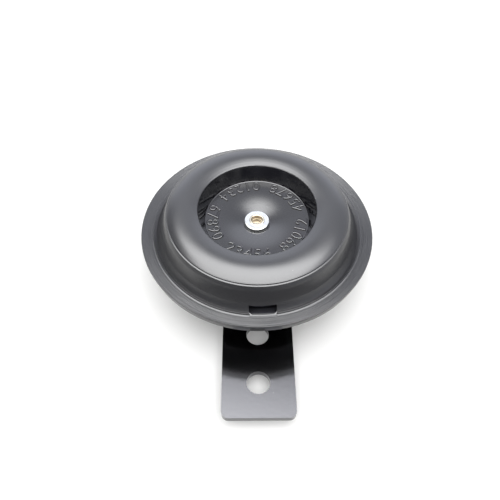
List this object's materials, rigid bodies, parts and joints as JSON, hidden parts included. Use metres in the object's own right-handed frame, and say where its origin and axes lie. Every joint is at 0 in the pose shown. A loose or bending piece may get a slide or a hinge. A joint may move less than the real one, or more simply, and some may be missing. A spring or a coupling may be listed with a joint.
{
  "type": "car horn",
  "caption": "Disc horn with a moulded resonator cover, a drawn steel body with its electromagnet and breaker, blade terminals and a flat bracket.",
  "frame": {"origin": "on the floor under the middle of the part", "axes": "+Z along the horn's axis out of its front, -Y towards the free end of the bracket"},
  "size_m": [0.07, 0.0881, 0.0361],
  "materials": {
    "cover_plastic": "satin moulded black",
    "body_paint": "semi-gloss black paint",
    "bracket_paint": "gloss black paint",
    "zinc_plate": "bright zinc plate",
    "rivet_brass": "plain brass",
    "spring_steel": "blued spring steel",
    "soft_iron": "plated iron",
    "bobbin_plastic": "natural nylon",
    "coil_copper": "enamelled copper wire",
    "lead_enamel": "enamelled copper wire",
    "contact_silver": "silver alloy",
    "spring_bronze": "phosphor bronze",
    "fibre": "varnished fibre",
    "terminal_brass": "tinned brass",
    "terminal_plastic": "black moulded insulator"
  },
  "bodies": {
    "body": {"diaphragm": "spring_steel", "diaphragm_gasket": "fibre", "housing": "body_paint", "pole_core": "soft_iron", "coil_bobbin": "bobbin_plastic", "coil_winding": "coil_copper", "feed_lead": "lead_enamel", "breaker_lead": "lead_enamel", "switch_lead": "lead_enamel", "fixed_contact": "contact_silver", "contact_strip": "spring_bronze", "insulator_lower": "fibre", "insulator_middle": "fibre", "insulator_upper": "fibre", "breaker_clamp": "soft_iron", "breaker_rivets": "zinc_plate", "adjuster_bush": "rivet_brass", "adjusting_screw": "zinc_plate", "terminal_block": "terminal_plastic", "terminal_blade_feed": "terminal_brass", "terminal_blade_switch": "terminal_brass", "terminal_washers": "fibre", "terminal_rivets": "terminal_brass", "bracket": "bracket_paint", "bracket_washer": "zinc_plate", "bracket_nut": "zinc_plate"},
    "front": {"resonator_cover": "cover_plastic", "rivet_washer": "zinc_plate", "centre_rivet": "rivet_brass", "cover_spacer": "soft_iron", "armature": "soft_iron"},
    "breaker": {"breaker_arm": "spring_bronze", "moving_contact": "contact_silver"}
  },
  "joints": [
    {"name": "diaphragm_stroke", "type": "slide", "parent": "body", "child": "front", "axis": [0, 0, -1], "range_m": [0, 0.00035], "stiffness_N_per_m": 20000, "deforming": ["diaphragm"]},
    {"name": "breaker_flex", "type": "hinge", "parent": "body", "child": "breaker", "pos_m": [0.0261, 0.00905, 0.01946], "axis": [0, -1, 0], "range_deg": [0, 1.4]}
  ],
  "couplings": [
    {"joint": "breaker_flex", "follows": "diaphragm_stroke", "rad_per_m": 69}
  ]
}
